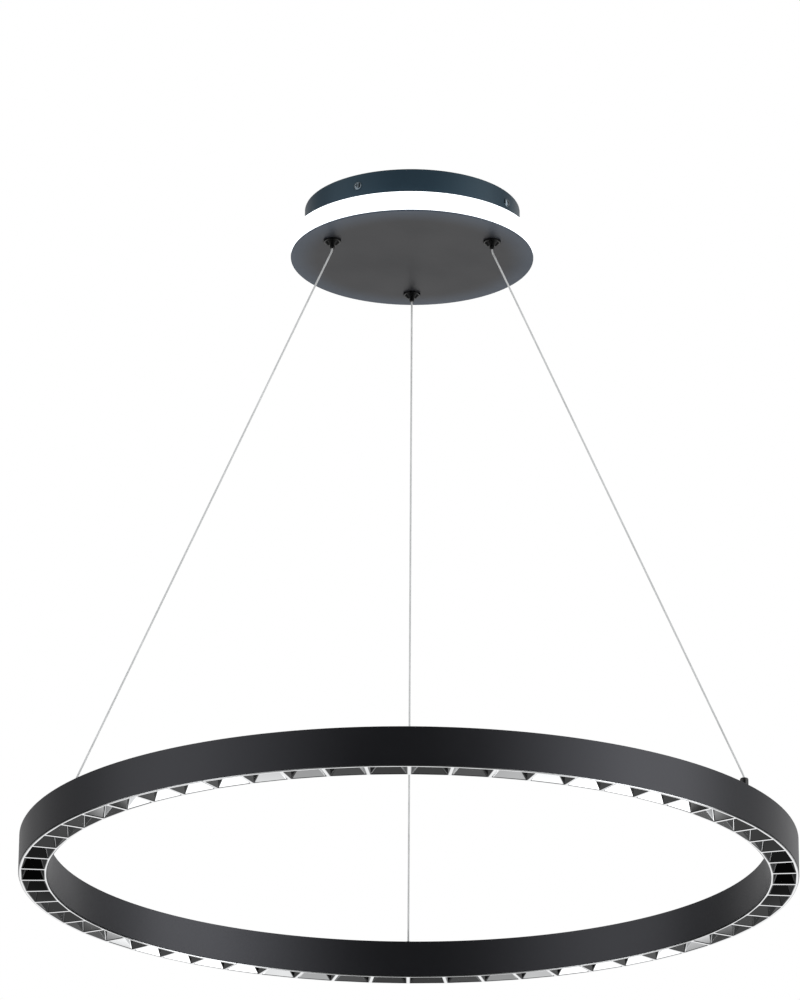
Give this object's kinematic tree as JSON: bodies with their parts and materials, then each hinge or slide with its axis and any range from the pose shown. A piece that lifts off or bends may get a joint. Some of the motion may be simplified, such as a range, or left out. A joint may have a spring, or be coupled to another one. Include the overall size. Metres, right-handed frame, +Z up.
{
  "type": "ring pendant light",
  "caption": "Round pendant light: a slim channel ring with a louvred downlight face hangs on slanted thin wires from a two-tier round ceiling canopy with a glowing band.",
  "frame": {"origin": "centre of the ceiling face, midway between the two ceiling slots, on the top face of the bracket", "axes": "+Z up into the ceiling; +Y towards the back wire; the feed wire is on the right, at -30 degrees from +X"},
  "size_m": [0.7999, 0.8, 0.748],
  "materials": {
    "zinc_steel": "zinc-plated pressed steel, satin",
    "black_lacquer": "black lacquer, satin",
    "plate_lacquer": "dark grey lacquer, satin",
    "screw_black": "black oxide, semi-gloss",
    "opal_acrylic": "opal acrylic, glowing",
    "mill_aluminium": "rolled, mill finish",
    "strip_white": "white flexible circuit",
    "led_phosphor": "yellow phosphor in white package",
    "driver_white": "moulded polycarbonate, fine texture",
    "circuit_green": "solder mask",
    "transformer_tape": "yellow winding tape",
    "capacitor_sleeve": "shrunk sleeve",
    "terminal_nylon": "natural nylon",
    "lead_brown": "PVC sleeve",
    "lead_blue": "PVC sleeve",
    "lead_earth": "PVC sleeve",
    "lead_white": "PVC sleeve",
    "gripper_black": "black electroplate, gloss",
    "nickel_brass": "nickel plated",
    "spring_steel": "drawn, bright",
    "wire_clear": "stranded steel in clear sleeve",
    "ring_black": "black powder coat, satin",
    "cover_black": "extruded, matt",
    "reflector_bright": "vacuum metallised, mirror bright",
    "board_white": "white solder mask",
    "lens_clear": "clear moulded acrylic",
    "gland_black": "moulded nylon, semi-gloss",
    "block_aluminium": "sawn and drilled"
  },
  "bodies": {
    "canopy": {"bottom_plate": "plate_lacquer", "canopy_cup": "black_lacquer", "ceiling_bracket": "zinc_steel", "cup_screws": "zinc_steel", "driver_base": "driver_white", "driver_board": "circuit_green", "driver_capacitors": "capacitor_sleeve", "driver_cover": "driver_white", "driver_screws": "zinc_steel", "driver_transformer": "transformer_tape", "earth_lead": "lead_earth", "earth_screw": "nickel_brass", "feed_lead": "lead_white", "gripper_body_back": "gripper_black", "gripper_body_left": "gripper_black", "gripper_body_right": "gripper_black", "gripper_caps": "nickel_brass", "gripper_nuts": "nickel_brass", "gripper_spring_back": "spring_steel", "gripper_spring_left": "spring_steel", "gripper_spring_right": "spring_steel", "halo_carrier": "mill_aluminium", "halo_diffuser": "opal_acrylic", "halo_lead": "lead_white", "halo_led_strip": "strip_white", "halo_leds": "led_phosphor", "live_lead": "lead_brown", "neutral_lead": "lead_blue", "plate_nuts": "zinc_steel", "plate_studs": "zinc_steel", "side_screws": "screw_black", "suspension_wire_back": "wire_clear", "suspension_wire_left": "wire_clear", "suspension_wire_right": "wire_clear", "terminal_block": "terminal_nylon", "terminal_screws": "zinc_steel"},
    "ring": {"anchor_blocks": "block_aluminium", "anchor_screws": "zinc_steel", "board_screws": "zinc_steel", "feed_gland": "gland_black", "louvre_tray_1": "reflector_bright", "louvre_tray_2": "reflector_bright", "louvre_tray_3": "reflector_bright", "louvre_tray_4": "reflector_bright", "louvre_tray_5": "reflector_bright", "louvre_tray_6": "reflector_bright", "ring_lead": "lead_white", "ring_led_boards": "board_white", "ring_leds": "led_phosphor", "ring_lenses": "lens_clear", "ring_profile": "ring_black", "ring_top_cover": "cover_black", "wire_anchors": "gripper_black", "wire_ferrules": "block_aluminium"},
    "plunger_back": {"gripper_plunger_back": "gripper_black", "gripper_balls_back": "spring_steel"},
    "plunger_left": {"gripper_plunger_left": "gripper_black", "gripper_balls_left": "spring_steel"},
    "plunger_right": {"gripper_plunger_right": "gripper_black", "gripper_balls_right": "spring_steel"}
  },
  "joints": [
    {"name": "ring_height", "type": "slide", "parent": "canopy", "child": "ring", "axis": [0, 0, 1], "range_m": [0, 0.3], "deforming": ["suspension_wire_back", "suspension_wire_left", "suspension_wire_right"]},
    {"name": "plunger_back_press", "type": "slide", "parent": "canopy", "child": "plunger_back", "axis": [0, 0, 1], "range_m": [0, 0.002], "stiffness_N_per_m": 500, "springref_m": -0.002, "deforming": ["gripper_spring_back"]},
    {"name": "plunger_left_press", "type": "slide", "parent": "canopy", "child": "plunger_left", "axis": [0, 0, 1], "range_m": [0, 0.002], "stiffness_N_per_m": 500, "springref_m": -0.002, "deforming": ["gripper_spring_left"]},
    {"name": "plunger_right_press", "type": "slide", "parent": "canopy", "child": "plunger_right", "axis": [0, 0, 1], "range_m": [0, 0.002], "stiffness_N_per_m": 500, "springref_m": -0.002, "deforming": ["gripper_spring_right"]}
  ]
}
